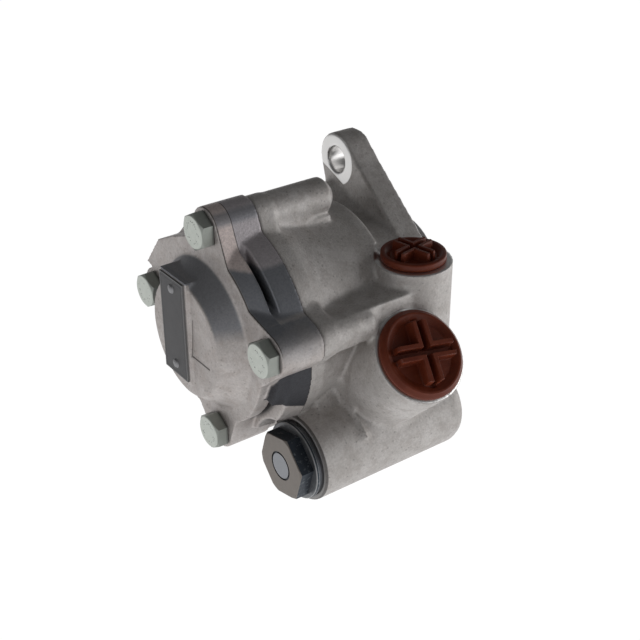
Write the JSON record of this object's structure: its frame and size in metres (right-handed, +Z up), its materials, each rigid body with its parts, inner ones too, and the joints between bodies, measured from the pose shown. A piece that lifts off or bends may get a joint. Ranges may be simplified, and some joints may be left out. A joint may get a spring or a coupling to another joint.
{
  "type": "power steering pump",
  "caption": "Flange-mounted vane-type power steering pump with a bolted rear cover, two capped ports and a built-in flow control valve.",
  "frame": {"origin": "centre of the pilot on the mounting face", "axes": "+X along the shaft and out of the drive side, +Z up along the pressure port, the suction port leans towards -Y"},
  "size_m": [0.1194, 0.1184, 0.1154],
  "materials": {
    "cast_aluminium": "blasted sand-cast aluminium",
    "die_cast_aluminium": "warm grey die-cast aluminium",
    "plate_grey": "dark grey coated plate",
    "rivet_steel": "dull steel",
    "zinc_steel": "pale zinc plating",
    "ground_steel": "ground steel",
    "inner_steel": "ground hardened steel",
    "black_rubber": "moulded oil seal",
    "bush_bronze": "bearing bronze",
    "oxide_steel": "turned steel with dark oxide flanks",
    "washer_steel": "dark steel washer",
    "cap_plastic": "rust-brown moulded plastic"
  },
  "bodies": {
    "housing": {"pump_housing": "cast_aluminium", "rear_cover": "die_cast_aluminium", "cover_seal": "black_rubber", "identification_plate": "plate_grey", "plate_rivets": "rivet_steel", "cover_bolts": "zinc_steel", "cam_ring": "inner_steel", "front_side_plate": "inner_steel", "pressure_plate": "inner_steel", "locating_pins": "inner_steel", "bearing_outer_ring": "inner_steel", "bearing_circlip": "inner_steel", "shaft_seal": "black_rubber", "rear_bush": "bush_bronze", "pilot_ring": "black_rubber", "valve_plug": "oxide_steel", "valve_plug_washer": "washer_steel", "spool_spring": "inner_steel", "plate_spring": "inner_steel", "suction_port_cap": "cap_plastic", "pressure_port_cap": "cap_plastic"},
    "shaft": {"drive_shaft": "ground_steel", "rotor": "inner_steel", "bearing_inner_ring": "inner_steel", "shaft_circlip": "inner_steel"},
    "ball_set": {"bearing_cage": "inner_steel", "bearing_balls": "inner_steel"},
    "spool": {"flow_control_spool": "inner_steel", "relief_seat": "inner_steel", "relief_spring": "inner_steel"},
    "relief_ball": {"relief_ball": "inner_steel"},
    "vane_1": {"vane_1": "inner_steel"},
    "vane_2": {"vane_2": "inner_steel"},
    "vane_3": {"vane_3": "inner_steel"},
    "vane_4": {"vane_4": "inner_steel"},
    "vane_5": {"vane_5": "inner_steel"},
    "vane_6": {"vane_6": "inner_steel"},
    "vane_7": {"vane_7": "inner_steel"},
    "vane_8": {"vane_8": "inner_steel"},
    "vane_9": {"vane_9": "inner_steel"},
    "vane_10": {"vane_10": "inner_steel"}
  },
  "joints": [
    {"name": "shaft_spin", "type": "hinge", "parent": "housing", "child": "shaft", "pos_m": [-0.04, 0, 0], "axis": [1, 0, 0], "continuous": true},
    {"name": "ball_set_spin", "type": "hinge", "parent": "housing", "child": "ball_set", "pos_m": [-0.01, 0, 0], "axis": [1, 0, 0], "continuous": true},
    {"name": "vane_1_slide", "type": "slide", "parent": "shaft", "child": "vane_1", "axis": [0, 1, 0], "range_m": [-0.0018, 0]},
    {"name": "vane_2_slide", "type": "slide", "parent": "shaft", "child": "vane_2", "axis": [0, 0.809, 0.5878], "range_m": [-0.0018, 0]},
    {"name": "vane_3_slide", "type": "slide", "parent": "shaft", "child": "vane_3", "axis": [0, 0.309, 0.9511], "range_m": [-0.0018, 0]},
    {"name": "vane_4_slide", "type": "slide", "parent": "shaft", "child": "vane_4", "axis": [0, -0.309, 0.9511], "range_m": [-0.0018, 0]},
    {"name": "vane_5_slide", "type": "slide", "parent": "shaft", "child": "vane_5", "axis": [0, -0.809, 0.5878], "range_m": [-0.0018, 0]},
    {"name": "vane_6_slide", "type": "slide", "parent": "shaft", "child": "vane_6", "axis": [0, -1, 0], "range_m": [-0.0018, 0]},
    {"name": "vane_7_slide", "type": "slide", "parent": "shaft", "child": "vane_7", "axis": [0, -0.809, -0.5878], "range_m": [-0.0018, 0]},
    {"name": "vane_8_slide", "type": "slide", "parent": "shaft", "child": "vane_8", "axis": [0, -0.309, -0.9511], "range_m": [-0.0018, 0]},
    {"name": "vane_9_slide", "type": "slide", "parent": "shaft", "child": "vane_9", "axis": [0, 0.309, -0.9511], "range_m": [-0.0018, 0]},
    {"name": "vane_10_slide", "type": "slide", "parent": "shaft", "child": "vane_10", "axis": [0, 0.809, -0.5878], "range_m": [-0.0018, 0]},
    {"name": "spool_slide", "type": "slide", "parent": "housing", "child": "spool", "axis": [1, 0, 0], "range_m": [0, 0.006], "stiffness_N_per_m": 2000, "springref_m": -0.006, "deforming": ["spool_spring"]},
    {"name": "relief_ball_slide", "type": "slide", "parent": "spool", "child": "relief_ball", "axis": [1, 0, 0], "range_m": [0, 0.0008], "stiffness_N_per_m": 100, "springref_m": -0.003, "deforming": ["relief_spring"]}
  ],
  "couplings": [
    {"joint": "ball_set_spin", "follows": "shaft_spin", "ratio": 0.4085}
  ]
}
